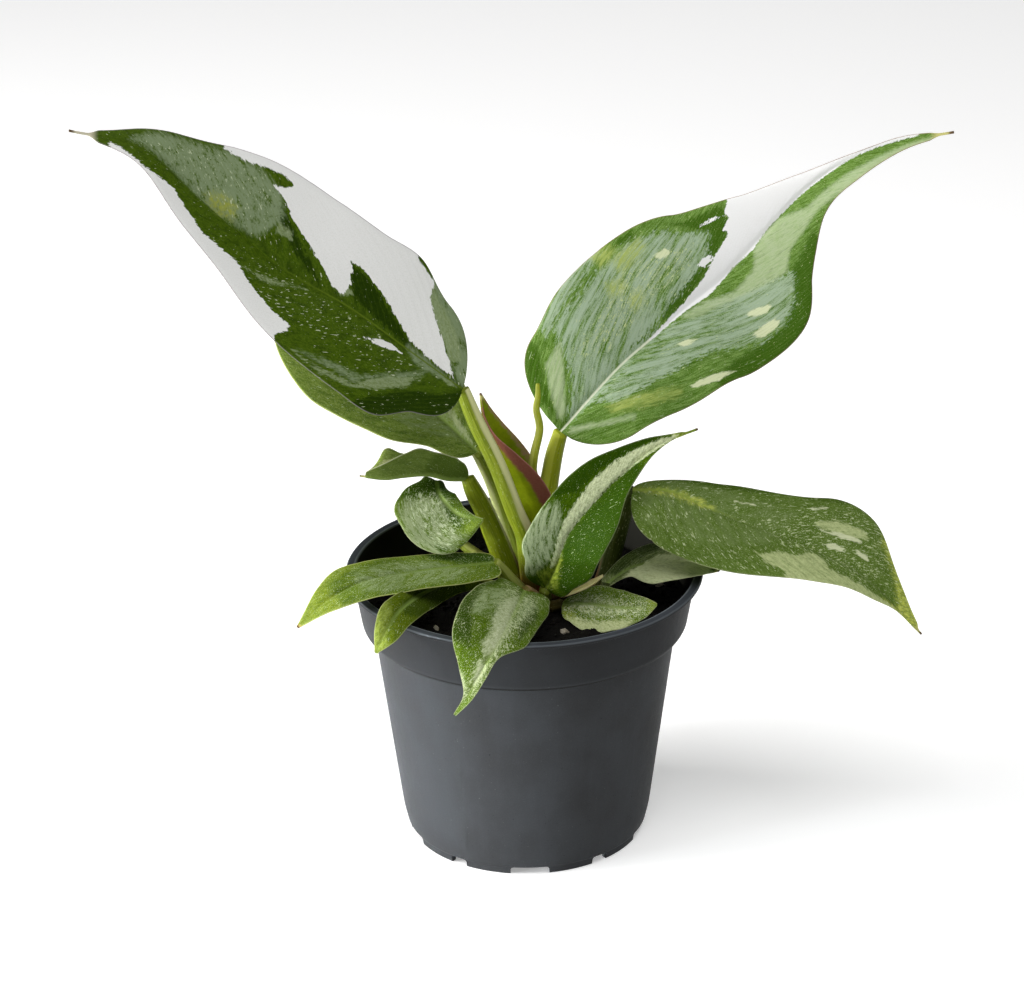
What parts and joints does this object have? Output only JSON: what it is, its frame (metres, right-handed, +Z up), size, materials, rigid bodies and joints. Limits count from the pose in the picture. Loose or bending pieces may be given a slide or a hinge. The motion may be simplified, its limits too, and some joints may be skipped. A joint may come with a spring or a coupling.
{
  "type": "potted philodendron",
  "caption": "Small potted aroid house plant with long pointed white-and-green leaves on stalks, rooted in dark soil in a tapered plastic nursery pot.",
  "frame": {"origin": "centre of the pot's foot, on the pot's axis, on the surface the pot stands on", "axes": "+Z up along the pot's axis, -Y towards the front of the plant, +X to its right"},
  "size_m": [0.2792, 0.1429, 0.2611],
  "materials": {
    "pot": "satin dark slate grey",
    "soil": "rough damp peat",
    "crown": "dull brown stem",
    "leaf_variegated": "satin white and green",
    "leaf_green": "satin green with white flecks",
    "leaf_yellow_green": "satin yellow-green",
    "petiole": "satin olive green",
    "sheath": "satin yellow-green with a reddish edge",
    "young_leaf": "satin pale yellow-green",
    "scale_leaf": "satin pale yellow",
    "perlite": "rough white"
  },
  "bodies": {
    "root": {"pot": "pot", "soil": "soil", "crown": "crown", "leaf_upper_left": "leaf_variegated", "leaf_behind_left": "leaf_green", "leaf_upper_right": "leaf_variegated", "leaf_front_folded": "leaf_green", "leaf_right_drooping": "leaf_green", "leaf_right_low": "leaf_green", "leaf_front_right": "leaf_green", "leaf_front_drooping": "leaf_green", "leaf_left_long": "leaf_green", "leaf_left_low": "leaf_yellow_green", "leaf_left_curled": "leaf_green", "leaf_left_round": "leaf_green", "petiole_upper_left": "petiole", "petiole_behind_left": "petiole", "petiole_upper_right": "petiole", "petiole_front_folded": "petiole", "petiole_right_drooping": "petiole", "petiole_right_low": "petiole", "petiole_front_right": "petiole", "petiole_front_drooping": "petiole", "petiole_left_long": "petiole", "petiole_left_low": "petiole", "petiole_left_curled": "petiole", "petiole_left_round": "petiole", "sheath": "sheath", "young_leaf": "young_leaf", "scale_leaf": "scale_leaf", "perlite_1": "perlite", "perlite_2": "perlite", "perlite_3": "perlite"}
  },
  "joints": []
}
